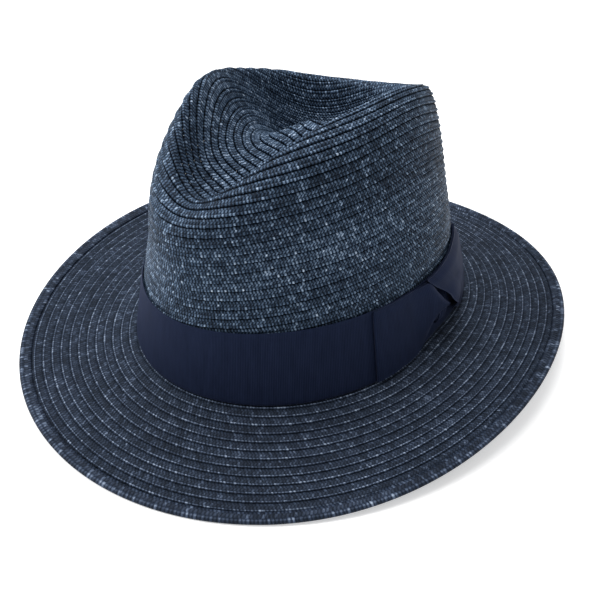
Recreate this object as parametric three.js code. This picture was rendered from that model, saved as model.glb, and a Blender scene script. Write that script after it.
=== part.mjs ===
// Fedora hat of sewn braid, with a ribbon band, a flat side bow and an inner sweatband.
// Millimetres, +Z up. -Y is the front of the hat and +X is the wearer's left.
// Angles run from the front towards the wearer's left.
import * as THREE from "three";

// ---------- driving dimensions ----------
// Head line, the oval where crown and brim meet: half length, half width, height and its small waves.
const HEAD = { a: 100.01752, b: 84.63548, z: { m: 11.29431, c: -0.35219, s: 1.13179, d: 0.41822, e: -0.29756 } };
// Brim: width, its change round the hat, edge height and its waves, and the bow of its section.
const BRIM = { width: { m: 60.77046, c: 1.3777, d: 2.31902 }, edge: { m: 8.69875, c: 2.18926, s: -4.54166, d: -3.94475, e: -4.31801, g: 1.85834, h: 1.10188 }, curve: -1.99689 };
// Crest of the crown round the dent, as waves round the hat in x, y and z.
const CREST = { x: { m: -0.14365, c: 2.51686, s: 50.86413, d: 2.87051, e: -3.82325, h: 0.32054, l: 0.26807 }, y: { m: -0.74056, c: -64.96873, s: -0.96944, d: -5.89688, e: -0.62282, g: -4.2598, k: -0.81544 }, z: { m: 128.64189, c: -1.05052, s: 3.82635, d: -11.43545, e: -5.96225, g: -3.48313, h: -1.63202, k: -2.56531, n: -0.81722 } };
// Middle of the dent: where the braid spiral starts.
const TIP = { x: -0.70055, y: 9.92694, z: 117.71983 };
// Dent floor and inner wall: share of the way to the crest, floor height, wall height share.
const FLOOR = { inner: { m: 0.50378, c: -0.00844, s: -0.00716, d: 0.00187, e: -0.02041 }, height: { m: -13.86761, c: 5.09401, s: 8.9114, d: -5.9441, e: -7.4814 }, outer: { m: 0.783, c: 0.0075, s: -0.00543, d: 0.03969, e: 0.01914 }, rise: { m: 0.44936, c: -0.08054, s: 0.10181, d: -0.05147, e: 0.07208 } };
// Shoulder outside the crest, and the fullness of the wall below it.
const SHOULDER = { out: { m: 10.0384, c: 0.60752, s: 0.39952, d: 1.97485, e: 2.38987 }, down: { m: 7.07268, c: 2.21095, s: -4.87736, d: -2.1567, e: 1.18031 } };
const WALL = { upper: { m: 5.0182, c: -0.55143, d: -1.04944 }, lower: { m: 1.63505, c: 0.56811, d: 0.01489 } };
// The hat rests on its brim edge: a small turn about X and Y, and a shift, that bring the low points of the edge to z = 0
// and the middle of the whole hat over the origin.
const LEVEL = { rx: 0.03116, ry: -0.04444, lift: -1.453, dx: 0.5037, dy: 1.4846 };

const BRAID = 2.0; // thickness of the sewn braid
const GAP = 0.3; // room between neighbouring pieces
const EDGE_ROW = 6.0; // width of the doubled last row of braid
const EDGE_THICK = 2.6; // thickness of that row
const RIBBON = 0.8; // thickness of the band ribbon
const BAND_WIDTH = 39; // ribbon width
const BAND_RISE = 1.4; // the top edge of the band runs this much higher at the bow, and lower on the other side
const SWEAT = { width: 32, thick: 0.7 }; // inner sweatband
const TAPE = { width: 14, height: 29, thick: 0.5, at: Math.PI }; // over the sweatband joint
const LABEL = { width: 26, height: 14, thick: 0.4, at: Math.PI + 0.42, low: 9 }; // blank tab
const BOW = { front: 1.31, rear: 2.37, pinch: 1.8, knotHalf: 0.055, full: [0.4, 40.6], waist: [12, 33], flat: 2.2, proud: 6.5, knotProud: 8.5 };
const ROUND = 72; // steps round the hat
const DENT_STEPS = 13; // steps from the tip of the crown to its crest
const WALL_STEPS = 17; // steps from the crest down to the head line
const CROWN_STEPS = DENT_STEPS + WALL_STEPS;

// ---------- surfaces ----------
const V = (x, y, z) => new THREE.Vector3(x, y, z);
const waves = (w, t) =>
  w.m +
  (w.c || 0) * Math.cos(t) +
  (w.s || 0) * Math.sin(t) +
  (w.d || 0) * Math.cos(2 * t) +
  (w.e || 0) * Math.sin(2 * t) +
  (w.g || 0) * Math.cos(3 * t) +
  (w.h || 0) * Math.sin(3 * t) +
  (w.k || 0) * Math.cos(4 * t) +
  (w.l || 0) * Math.sin(4 * t) +
  (w.n || 0) * Math.cos(5 * t);

function headLine(t, off = 0) {
  const x = HEAD.b * Math.sin(t),
    y = -HEAD.a * Math.cos(t);
  const n = V(Math.sin(t) / HEAD.b, -Math.cos(t) / HEAD.a, 0).normalize();
  return V(x + off * n.x, y + off * n.y, waves(HEAD.z, t));
}
const crest = (t) =>
  V(waves(CREST.x, t), waves(CREST.y, t), waves(CREST.z, t));

// The eight points that a section of the crown passes through, from the tip to the head line.
function sectionPoints(t) {
  const H = headLine(t),
    R = crest(t),
    T = V(TIP.x, TIP.y, TIP.z);
  const n = V(Math.sin(t), -Math.cos(t) / 1.15, 0).normalize();
  const toward = (k, z) => V(T.x + (R.x - T.x) * k, T.y + (R.y - T.y) * k, z);
  const floorZ = TIP.z + waves(FLOOR.height, t);
  const D1 = toward(waves(FLOOR.inner, t), floorZ);
  const D2 = toward(
    waves(FLOOR.outer, t),
    floorZ + (R.z - floorZ) * waves(FLOOR.rise, t),
  );
  const W3 = R.clone()
    .addScaledVector(n, waves(SHOULDER.out, t))
    .add(V(0, 0, -waves(SHOULDER.down, t)));
  const L = H.clone().sub(R);
  const W2 = R.clone()
    .addScaledVector(L, 0.5)
    .addScaledVector(n, waves(WALL.upper, t));
  const W1 = R.clone()
    .addScaledVector(L, 0.78)
    .addScaledVector(n, waves(WALL.lower, t));
  return [T, D1, D2, R, W3, W2, W1, H];
}

// A smooth curve through the points, read by the distance from the tip; top is where it crosses the crest.
function sectionCurve(t) {
  const K = sectionPoints(t),
    last = K.length - 1;
  const Q = [K[0].clone().multiplyScalar(2).sub(K[1]), ...K, K[last].clone().multiplyScalar(2).sub(K[last - 1])];
  const P = [];
  for (let k = 0; k <= 140; k++) {
    const x = Math.min((k / 140) * last, last - 1e-9),
      i = Math.floor(x),
      f = x - i;
    const [a, b, c, d] = [Q[i], Q[i + 1], Q[i + 2], Q[i + 3]];
    const l0 = Math.sqrt(a.distanceTo(b)) + 1e-6,
      l1 = Math.sqrt(b.distanceTo(c)) + 1e-6,
      l2 = Math.sqrt(c.distanceTo(d)) + 1e-6;
    const m = (u, v, w, p, q) => l1 * ((v - u) / p - (w - u) / (p + q) + (w - v) / q);
    const out = V(0, 0, 0);
    for (const e of ["x", "y", "z"]) {
      const m1 = m(a[e], b[e], c[e], l0, l1),
        m2 = m(b[e], c[e], d[e], l1, l2);
      out[e] =
        (2 * f ** 3 - 3 * f * f + 1) * b[e] +
        (f ** 3 - 2 * f * f + f) * m1 +
        (-2 * f ** 3 + 3 * f * f) * c[e] +
        (f ** 3 - f * f) * m2;
    }
    P.push(out);
  }
  const S = [0];
  for (let k = 1; k < P.length; k++) S.push(S[k - 1] + P[k].distanceTo(P[k - 1]));
  const total = S[S.length - 1];
  const at = (s) => {
    s = Math.min(Math.max(s, 0), total);
    let k = 1;
    while (k < S.length - 1 && S[k] < s) k++;
    return P[k - 1].clone().lerp(P[k], (s - S[k - 1]) / (S[k] - S[k - 1]));
  };
  return { total, at, top: S[60] };
}

// A point above the outer face of the crown: angle, distance up from the head line, and height off the face.
function onCrown(t, up, off) {
  const at = (u, v) => {
    const c = sectionCurve(u);
    return c.at(c.total - Math.max(v, 0)).add(V(0, 0, Math.min(v, 0)));
  };
  const p = at(t, up),
    e = 0.02;
  const along = at(t + e, up).sub(at(t - e, up)),
    rise = at(t, Math.max(up, 0) + 3).sub(at(t, Math.max(up - 3, 0)));
  const n = along.cross(rise).normalize();
  if (n.dot(V(Math.sin(t), -Math.cos(t), 0)) < 0) n.negate();
  return p.addScaledVector(n, off);
}

// A point on the upper face of the brim: angle and distance out from the head line.
const brimWidth = (t) => waves(BRIM.width, t);
function onBrim(t, out) {
  const h = headLine(t, out),
    w = brimWidth(t),
    f = Math.min(Math.max(out / w, 0), 1);
  return V(h.x, h.y, h.z + (waves(BRIM.edge, t) - h.z) * f + BRIM.curve * 4 * f * (1 - f));
}

const levelling = new THREE.Matrix4()
  .makeTranslation(LEVEL.dx, LEVEL.dy, LEVEL.lift)
  .multiply(new THREE.Matrix4().makeRotationY(LEVEL.ry))
  .multiply(new THREE.Matrix4().makeRotationX(LEVEL.rx));

// ---------- closed bodies ----------
function meshOf(name, points, faces, finish, floor = false) {
  const pos = [];
  for (const p of points) {
    const q = p.clone().applyMatrix4(levelling);
    if (floor) q.z = Math.max(q.z, 0);
    pos.push(q.x, q.y, q.z);
  }
  let volume = 0;
  const P = (i) => V(pos[3 * i], pos[3 * i + 1], pos[3 * i + 2]);
  for (const [a, b, c] of faces) volume += P(a).dot(P(b).cross(P(c)));
  const index = faces.flatMap(([a, b, c]) => (volume < 0 ? [a, c, b] : [a, b, c]));
  const g = new THREE.BufferGeometry();
  g.setAttribute("position", new THREE.Float32BufferAttribute(pos, 3));
  g.setIndex(index);
  g.computeVertexNormals();
  const m = new THREE.Mesh(g, new THREE.MeshStandardMaterial(finish));
  m.name = name;
  return m;
}
const quad = (a, b, c, d) => [
  [a, b, c],
  [a, c, d],
];

// Rings round the hat, joined in order, closed into a tube (no ends) or by a point at each end.
function ringBody(name, rings, ends, finish, floor) {
  const points = rings.flat(),
    faces = [],
    n = rings[0].length,
    m = rings.length;
  const id = (j, i) => (j % m) * n + (i % n);
  for (let j = 0; j < (ends ? m - 1 : m); j++)
    for (let i = 0; i < n; i++)
      faces.push(...quad(id(j, i), id(j, i + 1), id(j + 1, i + 1), id(j + 1, i)));
  if (ends) {
    const a = points.push(ends[0]) - 1,
      b = points.push(ends[1]) - 1;
    for (let i = 0; i < n; i++) {
      faces.push([a, id(0, i + 1), id(0, i)]);
      faces.push([b, id(m - 1, i), id(m - 1, i + 1)]);
    }
  }
  return meshOf(name, points, faces, finish, floor);
}

// A patch with thickness: two grids of the same size, joined round their border.
function patchBody(name, top, under, finish) {
  const m = top.length,
    n = top[0].length,
    points = [...top.flat(), ...under.flat()],
    faces = [];
  const a = (j, i) => j * n + i,
    b = (j, i) => m * n + j * n + i;
  for (let j = 0; j < m - 1; j++)
    for (let i = 0; i < n - 1; i++) {
      faces.push(...quad(a(j, i), a(j, i + 1), a(j + 1, i + 1), a(j + 1, i)));
      faces.push(...quad(b(j, i), b(j + 1, i), b(j + 1, i + 1), b(j, i + 1)));
    }
  for (let i = 0; i < n - 1; i++) {
    faces.push(...quad(a(0, i), b(0, i), b(0, i + 1), a(0, i + 1)));
    faces.push(...quad(a(m - 1, i), a(m - 1, i + 1), b(m - 1, i + 1), b(m - 1, i)));
  }
  for (let j = 0; j < m - 1; j++) {
    faces.push(...quad(a(j, 0), a(j + 1, 0), b(j + 1, 0), b(j, 0)));
    faces.push(...quad(a(j, n - 1), b(j, n - 1), b(j + 1, n - 1), a(j + 1, n - 1)));
  }
  return meshOf(name, points, faces, finish);
}

// ---------- finishes ----------
const braidFinish = { color: 0x3b4658, roughness: 0.72, metalness: 0 };
const ribbonFinish = { color: 0x1e2438, roughness: 0.62, metalness: 0 };
const liningFinish = { color: 0x20242e, roughness: 0.85, metalness: 0 };
const labelFinish = { color: 0xd8d6ce, roughness: 0.8, metalness: 0 };

const angles = Array.from({ length: ROUND }, (_, i) => (i * 2 * Math.PI) / ROUND);
const hat = new THREE.Group();

// Crown: the outer face of the braid, and an inner face one braid thickness inside it.
{
  const columns = angles.map((t) => {
    const c = sectionCurve(t),
      end = c.total - GAP;
    return Array.from({ length: CROWN_STEPS + 1 }, (_, j) =>
      c.at(j <= DENT_STEPS ? (c.top * j) / DENT_STEPS : c.top + ((end - c.top) * (j - DENT_STEPS)) / WALL_STEPS),
    );
  });
  const outer = [],
    inner = [];
  for (let j = 1; j <= CROWN_STEPS; j++) {
    const o = [],
      n_ = [];
    for (let i = 0; i < ROUND; i++) {
      const p = columns[i][j];
      const e = columns[(i + 1) % ROUND][j].clone().sub(columns[(i + ROUND - 1) % ROUND][j]);
      const f = (j < CROWN_STEPS ? columns[i][j + 1] : p).clone().sub(columns[i][j - 1]);
      const n = f.cross(e).normalize();
      o.push(p);
      n_.push(p.clone().addScaledVector(n, -BRAID));
    }
    outer.push(o);
    inner.push(n_);
  }
  // The normals point out of the hat: up at the dent, outwards on the wall.
  const probe = inner[CROWN_STEPS - 1][0].clone().sub(outer[CROWN_STEPS - 1][0]);
  if (probe.dot(V(0, -1, 0)) > 0)
    for (let j = 0; j < inner.length; j++)
      for (let i = 0; i < ROUND; i++)
        inner[j][i] = outer[j][i].clone().multiplyScalar(2).sub(inner[j][i]);
  inner[CROWN_STEPS - 1].forEach((p, i) => (p.z = outer[CROWN_STEPS - 1][i].z));
  const tip = V(TIP.x, TIP.y, TIP.z);
  hat.add(
    ringBody("crown", [...outer, ...inner.slice().reverse()], [tip, tip.clone().add(V(0, 0, -BRAID))], braidFinish),
  );
}

// Brim: from under the foot of the crown out to the last row.
{
  const rows = 10,
    top = [],
    under = [];
  for (let j = -1; j <= rows; j++) {
    const ring = (dz) =>
      angles.map((t) => {
        const out = j < 0 ? -BRAID : ((brimWidth(t) - EDGE_ROW - GAP) * j) / rows;
        return onBrim(t, out).add(V(0, 0, dz));
      });
    top.push(ring(0));
    under.push(ring(-BRAID));
  }
  hat.add(ringBody("brim", [...top, ...under.reverse()], null, braidFinish, true));
}

// Last row of braid, doubled: its low stretches are flat where the hat rests.
{
  const w = EDGE_ROW,
    k = EDGE_THICK;
  const section = [
    [-w, 0.1],
    [-w * 0.55, 0.35],
    [-w * 0.15, 0.15],
    [0, -k * 0.5],
    [-w * 0.12, 0.3 - k],
    [-w * 0.6, 0.3 - k],
    [-w, 0.3 - k],
  ];
  const rings = section.map(([o, z]) => angles.map((t) => onBrim(t, brimWidth(t) + o).add(V(0, 0, z))));
  hat.add(ringBody("brim_edge_row", rings, null, braidFinish, true));
}

// Ribbon band round the foot of the crown.
const bandLow = GAP + 0.1;
{
  const ring = (f, off) =>
    angles.map((t) => onCrown(t, bandLow + f * (BAND_WIDTH + BAND_RISE * Math.sin(t)), off));
  const ups = [0, 1 / 3, 2 / 3, 1];
  hat.add(
    ringBody(
      "hat_band",
      [...ups.map((u) => ring(u, GAP + RIBBON)), ...ups.reverse().map((u) => ring(u, GAP))],
      null,
      ribbonFinish,
    ),
  );
}

// Sweatband inside the head opening, its joint tape and a blank tab.
{
  const ring = (up, off) => angles.map((t) => onCrown(t, up, off));
  const ups = [0, 0.35, 0.7, 1].map((f) => 0.4 + f * SWEAT.width);
  const face = -(BRAID + GAP + 0.1);
  hat.add(
    ringBody(
      "sweatband",
      [...ups.map((u) => ring(u, face)), ...ups.reverse().map((u) => ring(u, face - SWEAT.thick))],
      null,
      liningFinish,
    ),
  );
  const strip = (name, spec, low, finish) => {
    const half = spec.width / 2 / (spec.at > 3 ? HEAD.b * 0.98 : HEAD.a);
    const grid = (off) =>
      Array.from({ length: 4 }, (_, j) =>
        Array.from({ length: 5 }, (_, i) =>
          onCrown(spec.at + half * (i / 2 - 1), low + (spec.height * j) / 3, off),
        ),
      );
    const near = face - SWEAT.thick - GAP - 0.1;
    hat.add(patchBody(name, grid(near), grid(near - spec.thick), finish));
  };
  strip("sweatband_seam_tape", TAPE, 3.2, liningFinish);
  strip("size_label", LABEL, LABEL.low, labelFinish);
}

// Side bow: two flat loops of ribbon that meet at a pinch held by the knot.
{
  const base = GAP + RIBBON + GAP;
  const loop = (name, from, to, full, pinch, thickFull, thickPinch) => {
    const m = 9,
      n = 6,
      top = [],
      under = [];
    for (let j = 0; j < m; j++) {
      const f = j / (m - 1),
        t = from + (to - from) * f,
        w = full[0] + (pinch[0] - full[0]) * f ** 1.6,
        x = full[1] + (pinch[1] - full[1]) * f ** 1.6;
      const a = [],
        b = [];
      for (let i = 0; i < n; i++) {
        const up = w + ((x - w) * i) / (n - 1),
          e = 1 - Math.abs((2 * i) / (n - 1) - 1) ** 3;
        const thick = (thickFull + (thickPinch - thickFull) * f) * (0.55 + 0.45 * e);
        a.push(onCrown(t, up, base + thick));
        b.push(onCrown(t, up, base));
      }
      top.push(a);
      under.push(b);
    }
    hat.add(patchBody(name, top, under, ribbonFinish));
  };
  loop("bow_front_loop", BOW.front, BOW.pinch - BOW.knotHalf, BOW.full, BOW.waist, BOW.flat, BOW.proud);
  loop("bow_rear_loop", BOW.rear, BOW.pinch + BOW.knotHalf, BOW.full, BOW.waist, BOW.flat, BOW.proud);
  const m = 4,
    n = 6,
    top = [],
    under = [];
  for (let j = 0; j < m; j++) {
    const t = BOW.pinch + (BOW.knotHalf - 0.004) * ((2 * j) / (m - 1) - 1);
    const a = [],
      b = [];
    for (let i = 0; i < n; i++) {
      const g = (2 * i) / (n - 1) - 1,
        up = (BOW.waist[0] + BOW.waist[1]) / 2 + g * (BOW.waist[1] - BOW.waist[0]) * 0.5;
      a.push(onCrown(t, up, base + 2.0 + (BOW.knotProud - 2.0) * Math.sqrt(1 - 0.9 * g * g)));
      b.push(onCrown(t, up, base));
    }
    top.push(a);
    under.push(b);
  }
  hat.add(patchBody("bow_knot", top, under, ribbonFinish));
}

export default hat;
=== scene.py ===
"""Looks of the sewn-braid fedora: rows of plaited braid, ribbon band and bow, sweatband, floor, light and camera."""
import math

import bpy
import numpy as np
from mathutils.bvhtree import BVHTree
from mathutils import Matrix, Vector


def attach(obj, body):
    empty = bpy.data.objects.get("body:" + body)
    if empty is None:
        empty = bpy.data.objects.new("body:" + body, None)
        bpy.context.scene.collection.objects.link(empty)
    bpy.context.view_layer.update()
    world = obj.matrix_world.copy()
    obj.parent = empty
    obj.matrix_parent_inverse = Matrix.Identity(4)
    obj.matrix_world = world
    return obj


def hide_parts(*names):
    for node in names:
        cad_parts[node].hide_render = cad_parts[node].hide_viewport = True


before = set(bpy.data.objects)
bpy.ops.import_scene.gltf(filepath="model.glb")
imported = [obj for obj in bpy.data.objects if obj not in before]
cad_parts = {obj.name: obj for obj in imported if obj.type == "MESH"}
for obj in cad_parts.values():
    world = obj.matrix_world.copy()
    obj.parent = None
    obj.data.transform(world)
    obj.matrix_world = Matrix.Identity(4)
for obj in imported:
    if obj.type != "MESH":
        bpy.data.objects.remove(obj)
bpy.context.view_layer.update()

# ---------------------------------------------------------------- dimensions, in millimetres, as in the CAD part
P = {
 "HEAD": {
  "a": 100.01752,
  "b": 84.63548,
  "z": {
   "m": 11.29431,
   "c": -0.35219,
   "s": 1.13179,
   "d": 0.41822,
   "e": -0.29756
  }
 },
 "BRIM": {
  "width": {
   "m": 60.77046,
   "c": 1.3777,
   "d": 2.31902
  },
  "edge": {
   "m": 8.69875,
   "c": 2.18926,
   "s": -4.54166,
   "d": -3.94475,
   "e": -4.31801,
   "g": 1.85834,
   "h": 1.10188
  },
  "curve": -1.99689
 },
 "CREST": {
  "x": {
   "m": -0.14365,
   "c": 2.51686,
   "s": 50.86413,
   "d": 2.87051,
   "e": -3.82325,
   "h": 0.32054,
   "l": 0.26807
  },
  "y": {
   "m": -0.74056,
   "c": -64.96873,
   "s": -0.96944,
   "d": -5.89688,
   "e": -0.62282,
   "g": -4.2598,
   "k": -0.81544
  },
  "z": {
   "m": 128.64189,
   "c": -1.05052,
   "s": 3.82635,
   "d": -11.43545,
   "e": -5.96225,
   "g": -3.48313,
   "h": -1.63202,
   "k": -2.56531,
   "n": -0.81722
  }
 },
 "TIP": {
  "x": -0.70055,
  "y": 9.92694,
  "z": 117.71983
 },
 "FLOOR": {
  "inner": {
   "m": 0.50378,
   "c": -0.00844,
   "s": -0.00716,
   "d": 0.00187,
   "e": -0.02041
  },
  "height": {
   "m": -13.86761,
   "c": 5.09401,
   "s": 8.9114,
   "d": -5.9441,
   "e": -7.4814
  },
  "outer": {
   "m": 0.783,
   "c": 0.0075,
   "s": -0.00543,
   "d": 0.03969,
   "e": 0.01914
  },
  "rise": {
   "m": 0.44936,
   "c": -0.08054,
   "s": 0.10181,
   "d": -0.05147,
   "e": 0.07208
  }
 },
 "SHOULDER": {
  "out": {
   "m": 10.0384,
   "c": 0.60752,
   "s": 0.39952,
   "d": 1.97485,
   "e": 2.38987
  },
  "down": {
   "m": 7.07268,
   "c": 2.21095,
   "s": -4.87736,
   "d": -2.1567,
   "e": 1.18031
  }
 },
 "WALL": {
  "upper": {
   "m": 5.0182,
   "c": -0.55143,
   "d": -1.04944
  },
  "lower": {
   "m": 1.63505,
   "c": 0.56811,
   "d": 0.01489
  }
 },
 "LEVEL": {
  "rx": 0.03116,
  "ry": -0.04444,
  "lift": -1.453,
  "dx": 0.5037,
  "dy": 1.4846
 }
}
BAND_WIDTH, BAND_RISE, BAND_LOW = 39.0, 1.4, 0.4
BRAID, GAP, EDGE_ROW, EDGE_THICK = 2.0, 0.3, 6.0, 2.6
ROWS_WALL = 40.376  # rows of braid from tip to head line at the pitch of the wall
ROWS_DENT = 5.0  # and this many more, closer together, in the dent
ROWS_CROWN = ROWS_WALL + ROWS_DENT
CENTRE = (8.0, 22.0)  # the braid starts this far from the lowest point of the dent, in millimetres
ROWS_BRIM = 14.2  # rows of braid across the brim
TAU = 2 * math.pi
rng = np.random.default_rng(7)


# ---------------------------------------------------------------- surfaces
def smoothstep(x, a, b):
    x = np.clip((x - a) / (b - a), 0, 1)
    return x * x * (3 - 2 * x)


def waves(w, t):
    g = w.get
    return (g("m", 0) + g("c", 0) * np.cos(t) + g("s", 0) * np.sin(t) + g("d", 0) * np.cos(2 * t) + g("e", 0) * np.sin(2 * t)
            + g("g", 0) * np.cos(3 * t) + g("h", 0) * np.sin(3 * t) + g("k", 0) * np.cos(4 * t) + g("l", 0) * np.sin(4 * t)
            + g("n", 0) * np.cos(5 * t))


def head(t, off=0.0):
    H = P["HEAD"]
    nx, ny = np.sin(t) / H["b"], -np.cos(t) / H["a"]
    n = np.hypot(nx, ny)
    return np.stack([H["b"] * np.sin(t) + off * nx / n, -H["a"] * np.cos(t) + off * ny / n, waves(H["z"], t) + 0 * t], -1)


def knots(t):
    H = head(t)
    C = P["CREST"]
    R = np.stack([waves(C["x"], t), waves(C["y"], t), waves(C["z"], t)], -1)
    n = np.stack([np.sin(t), -np.cos(t) / 1.15, 0 * t], -1)
    n /= np.linalg.norm(n, axis=-1, keepdims=True)
    T = np.zeros_like(R) + np.array([P["TIP"]["x"], P["TIP"]["y"], P["TIP"]["z"]])
    F = P["FLOOR"]
    fz = P["TIP"]["z"] + waves(F["height"], t)
    D1 = T + (R - T) * waves(F["inner"], t)[..., None]
    D1[..., 2] = fz
    D2 = T + (R - T) * waves(F["outer"], t)[..., None]
    D2[..., 2] = fz + (R[..., 2] - fz) * waves(F["rise"], t)
    W3 = R + n * waves(P["SHOULDER"]["out"], t)[..., None]
    W3[..., 2] -= waves(P["SHOULDER"]["down"], t)
    L = H - R
    W2 = R + L * 0.5 + n * waves(P["WALL"]["upper"], t)[..., None]
    W1 = R + L * 0.78 + n * waves(P["WALL"]["lower"], t)[..., None]
    return np.stack([T, D1, D2, R, W3, W2, W1, H], -2)


def sections(t, nf=421):
    K = knots(t)
    Q = np.concatenate([2 * K[:, :1] - K[:, 1:2], K, 2 * K[:, -1:] - K[:, -2:-1]], 1)
    x = np.minimum(np.linspace(0, 7, nf), 7 - 1e-9)
    i = x.astype(int)
    f = (x - i)[None, :, None]
    a, b, c, d = Q[:, i], Q[:, i + 1], Q[:, i + 2], Q[:, i + 3]
    root = lambda v: np.sqrt(np.linalg.norm(v, axis=-1, keepdims=True)) + 1e-6
    l0, l1, l2 = root(b - a), root(c - b), root(d - c)
    m1 = l1 * ((b - a) / l0 - (c - a) / (l0 + l1) + (c - b) / l1)
    m2 = l1 * ((c - b) / l1 - (d - b) / (l1 + l2) + (d - c) / l2)
    X = (2 * f**3 - 3 * f * f + 1) * b + (f**3 - 2 * f * f + f) * m1 + (-2 * f**3 + 3 * f * f) * c + (f**3 - f * f) * m2
    S = np.concatenate([np.zeros((len(t), 1)), np.cumsum(np.linalg.norm(np.diff(X, axis=1), axis=-1), 1)], 1)
    return X, S


NT = 720
PER = 8  # table steps for each row
angles = np.arange(NT) * TAU / NT
_X, _S = sections(angles)
TOTAL = _S[:, -1]


DRIFT = [-0.0268, -0.198, -0.3287, 0.9966, 0.3803, -0.708, -0.2098, 0.2611, 0.0931, 0.5512, 0.005, -0.3073, 0.4604]  # how the rows wander from level ones, in rows, by angle and height


def drift(t, f):
    """Rows by which the braid is ahead at angle t and share f of the way from tip to head line."""
    h = smoothstep(f, 0.02, 0.45) * (1 - np.clip((f - 0.8) / 0.2, 0, 1))
    k = iter(DRIFT)
    out = 0 * f
    for m in range(4):
        for wave in (np.cos, np.sin):
            if m == 0 and wave is np.sin:
                continue
            a = wave(m * t) if m else 1.0
            if m:
                out = out + next(k) * a * h
            out = out + next(k) * a * h * (f - 0.62) * 3
    return out


SHARE = np.empty((NT, int(round(ROWS_CROWN * PER)) + 1))


def crown_table(wander=1.0):
    n = int(round(ROWS_CROWN * PER))
    out = np.empty((NT, n + 1, 3))
    share = np.linspace(0, 1, 2001)
    for i in range(NT):
        more = ROWS_DENT * (wander * smoothstep(share, 0.0, 0.38) + (1 - wander) * share)
        rows = np.maximum.accumulate(ROWS_WALL * share + more + wander * drift(angles[i], share))
        SHARE[i] = np.interp(ROWS_CROWN * np.arange(n + 1) / n, rows, share)
        s = TOTAL[i] * SHARE[i]
        for k in range(3):
            out[i, :, k] = np.interp(s, _S[i], _X[i, :, k])
    return out


def brim_point(t, out):
    B = P["BRIM"]
    f = np.clip(out / waves(B["width"], t), 0, 1)
    h = head(t, out)
    h[..., 2] += (waves(B["edge"], t) - h[..., 2]) * f + B["curve"] * 4 * f * (1 - f)
    return h


BRIM_START, BRIM_LAST = -3.2, 1.0  # first row starts under the sweatband, and the last one ends this far from the edge


def brim_out(t, rho):
    w = waves(P["BRIM"]["width"], t)
    return BRIM_START + (w - BRIM_LAST - BRIM_START) * rho / ROWS_BRIM


def brim_table():
    n = int(round(ROWS_BRIM * PER))
    t = np.repeat(angles[:, None], n + 1, 1)
    rho = np.repeat((np.arange(n + 1) / n * ROWS_BRIM)[None], NT, 0)
    return brim_point(t, brim_out(t, rho))


def normals_of(G, up):
    du = np.roll(G, -1, 0) - np.roll(G, 1, 0)
    dv = np.gradient(G, axis=1)
    n = np.cross(dv, du)
    if up:
        n[..., :] *= np.sign(n[..., 2:3].mean())
    ln = np.linalg.norm(n, axis=-1, keepdims=True)
    return n / np.maximum(ln, 1e-9)




def centred(T, face):
    """The table's rows moved over the dent, so that they circle the point where the braid starts."""
    cut = int(0.5 * face.shape[1])
    grid_v = face[:, : cut + 1]
    n = cut + 1
    verts = [tuple(v) for v in grid_v.reshape(-1, 3)]
    idx = np.arange(NT * n).reshape(NT, n)
    nxt = np.roll(idx, -1, 0)
    quads = np.stack([idx[:, :-1], nxt[:, :-1], nxt[:, 1:], idx[:, 1:]], -1).reshape(-1, 4)
    tree = BVHTree.FromPolygons(verts, [tuple(map(int, q)) for q in quads])
    T = T.copy()
    down = Vector((0, 0, -1))
    for i in range(NT):
        for j in range(T.shape[1]):
            w = 1 - smoothstep(SHARE[i, j], 0.0, 0.37)
            if w <= 0:
                break
            x, y = T[i, j, 0] + w * CENTRE[0], T[i, j, 1] + w * CENTRE[1]
            hit = tree.ray_cast(Vector((x, y, 400.0)), down)[0]
            if hit is not None:
                T[i, j] = hit
    return T


def outward(T):
    n = normals_of(T, False)
    if n[0, -10, 1] > 0:
        n = -n
    n[:, :3] = n[:, 3:4]
    tip = n[:, 3].mean(0)
    n[:, 0] = tip / np.linalg.norm(tip)
    return n


FACE_OF = crown_table(0.0)
FACE_N = outward(FACE_OF)
CROWN = centred(crown_table(), FACE_OF)
CROWN_N = outward(CROWN)
BRIM_G = brim_table()
BRIM_N = normals_of(BRIM_G, True)


def look_up(G, N, rows, t, rho):
    """Position and normal of a table at angle t and row rho."""
    n = G.shape[1] - 1
    x = (t / TAU * NT) % NT
    y = np.clip(rho / rows * n, 0, n - 1e-6)
    i, j = x.astype(int) % NT, y.astype(int)
    i2 = (i + 1) % NT
    a, b = (x - np.floor(x))[..., None], (y - j)[..., None]

    def mix(T):
        return (T[i, j] * (1 - a) + T[i2, j] * a) * (1 - b) + (T[i, j + 1] * (1 - a) + T[i2, j + 1] * a) * b

    nn = mix(N)
    return mix(G), nn / np.maximum(np.linalg.norm(nn, axis=-1, keepdims=True), 1e-9)


_L = P["LEVEL"]
LEVELLING = (Matrix.Translation((_L["dx"], _L["dy"], _L["lift"])) @ Matrix.Rotation(_L["ry"], 4, "Y") @ Matrix.Rotation(_L["rx"], 4, "X"))
_M = np.array(LEVELLING)


NIP = dict(at=103.0, spread=17.0, tall=13.0, reach=16.0, inward=2.6, up=3.4)  # where the bow draws the foot of the crown in


def nip(X):
    """The foot of the crown is drawn in and up a little under the bow's pinch."""
    a, b = P["HEAD"]["a"], P["HEAD"]["b"]
    t = np.arctan2(X[..., 0] / b, -X[..., 1] / a)
    out = (np.hypot(X[..., 0] / b, X[..., 1] / a) - 1) * (a + b) / 2
    above = X[..., 2] - waves(P["HEAD"]["z"], t)
    turn = (np.degrees(t) - NIP["at"] + 180) % 360 - 180
    w = np.exp(-((turn / NIP["spread"]) ** 2) - (above / NIP["tall"]) ** 2 - (out / NIP["reach"]) ** 2)
    return X + w[..., None] * np.stack([-NIP["inward"] * np.sin(t), NIP["inward"] * np.cos(t), NIP["up"] + 0 * t], -1)


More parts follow.
